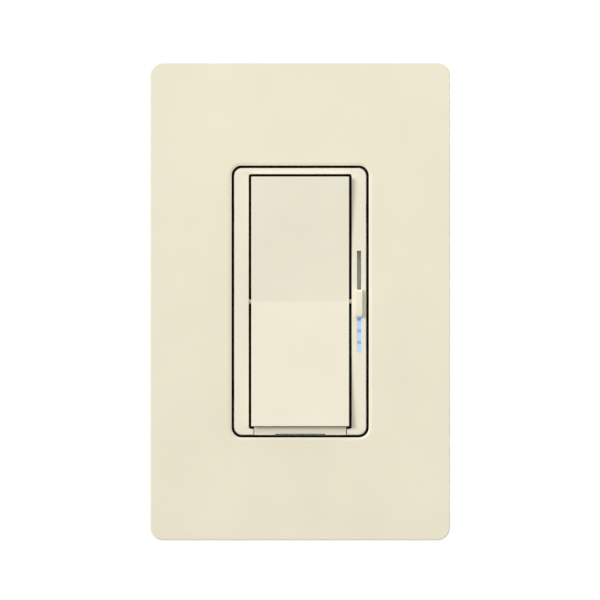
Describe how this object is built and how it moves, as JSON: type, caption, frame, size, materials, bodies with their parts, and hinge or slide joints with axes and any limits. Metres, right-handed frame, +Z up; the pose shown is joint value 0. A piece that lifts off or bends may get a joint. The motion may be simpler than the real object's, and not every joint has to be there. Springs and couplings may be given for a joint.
{
  "type": "slide dimmer switch",
  "caption": "Wall-box light dimmer: rocking paddle, side slide control over a light bar and pull-out service tab, framed by a rounded screwless wall plate.",
  "frame": {"origin": "on the wall plane, halfway between the two screws that hold the device to its box", "axes": "+Z up, +X right as seen from the room, -Y towards the room, +Y into the wall"},
  "size_m": [0.0746, 0.0391, 0.119],
  "materials": {
    "cover_plastic": "light almond ABS, satin",
    "bezel_plastic": "light almond polycarbonate, satin",
    "black_plastic": "black moulded thermoplastic, fine grained",
    "strap_metal": "brushed sheet",
    "zinc_steel": "zinc plated",
    "spring_steel": "plain, stamped",
    "green_screw": "green zinc finish",
    "brass": "plain brass",
    "copper": "bare copper alloy",
    "fibre": "vulcanised fibre",
    "circuit_board": "solder-masked laminate",
    "insulating_film": "black polyester film",
    "chip_black": "moulded package",
    "lamp": "blue emitter in clear resin",
    "light_guide": "diffusing acrylic",
    "silicone": "moulded silicone rubber",
    "ferrite": "coated iron powder",
    "capacitor_film": "epoxy-filled case",
    "capacitor_can": "sleeved can",
    "ceramic": "coated ceramic disc"
  },
  "bodies": {
    "dimmer_body": {"mounting_strap": "strap_metal", "ground_screw": "green_screw", "mounting_screws": "zinc_steel", "screw_retainers": "fibre", "back_housing": "black_plastic", "housing_screws": "zinc_steel", "terminal_plates": "brass", "terminal_clamps": "zinc_steel", "terminal_screws": "brass", "power_board": "circuit_board", "choke_core": "ferrite", "choke_winding": "copper", "film_capacitor": "capacitor_film", "can_capacitor": "capacitor_can", "fuse": "chip_black", "supply_coil": "chip_black", "varistor": "ceramic", "board_header": "chip_black", "triac_pad": "insulating_film", "triac": "chip_black", "triac_screw": "zinc_steel", "triac_nut": "zinc_steel", "board_insulator": "insulating_film", "control_board": "circuit_board", "control_chip": "chip_black", "indicator_lamps": "lamp", "light_bar": "light_guide", "upper_dome": "silicone", "lower_dome": "silicone", "potentiometer_case": "spring_steel", "potentiometer_track": "chip_black", "bezel": "bezel_plastic", "airgap_contacts": "brass", "adapter_plate": "black_plastic", "adapter_screws": "zinc_steel", "wall_plate": "cover_plastic"},
    "paddle": {"paddle": "bezel_plastic"},
    "slider": {"slider_knob": "bezel_plastic", "slider_link": "spring_steel", "potentiometer_wiper": "black_plastic"},
    "service_tab": {"service_tab": "bezel_plastic", "airgap_actuator": "black_plastic", "airgap_bridge": "copper"}
  },
  "joints": [
    {"name": "paddle_rock", "type": "hinge", "parent": "dimmer_body", "child": "paddle", "pos_m": [0, -0.0058, 0], "axis": [1, 0, 0], "range_deg": [-1.5, 1.5], "stiffness_Nm_per_rad": 0.5, "deforming": ["upper_dome", "lower_dome"]},
    {"name": "dim_slide", "type": "slide", "parent": "dimmer_body", "child": "slider", "axis": [0, 0, 1], "range_m": [-0.0099, 0.0107]},
    {"name": "service_pull", "type": "slide", "parent": "dimmer_body", "child": "service_tab", "axis": [0, -1, 0], "range_m": [0, 0.0025]}
  ]
}
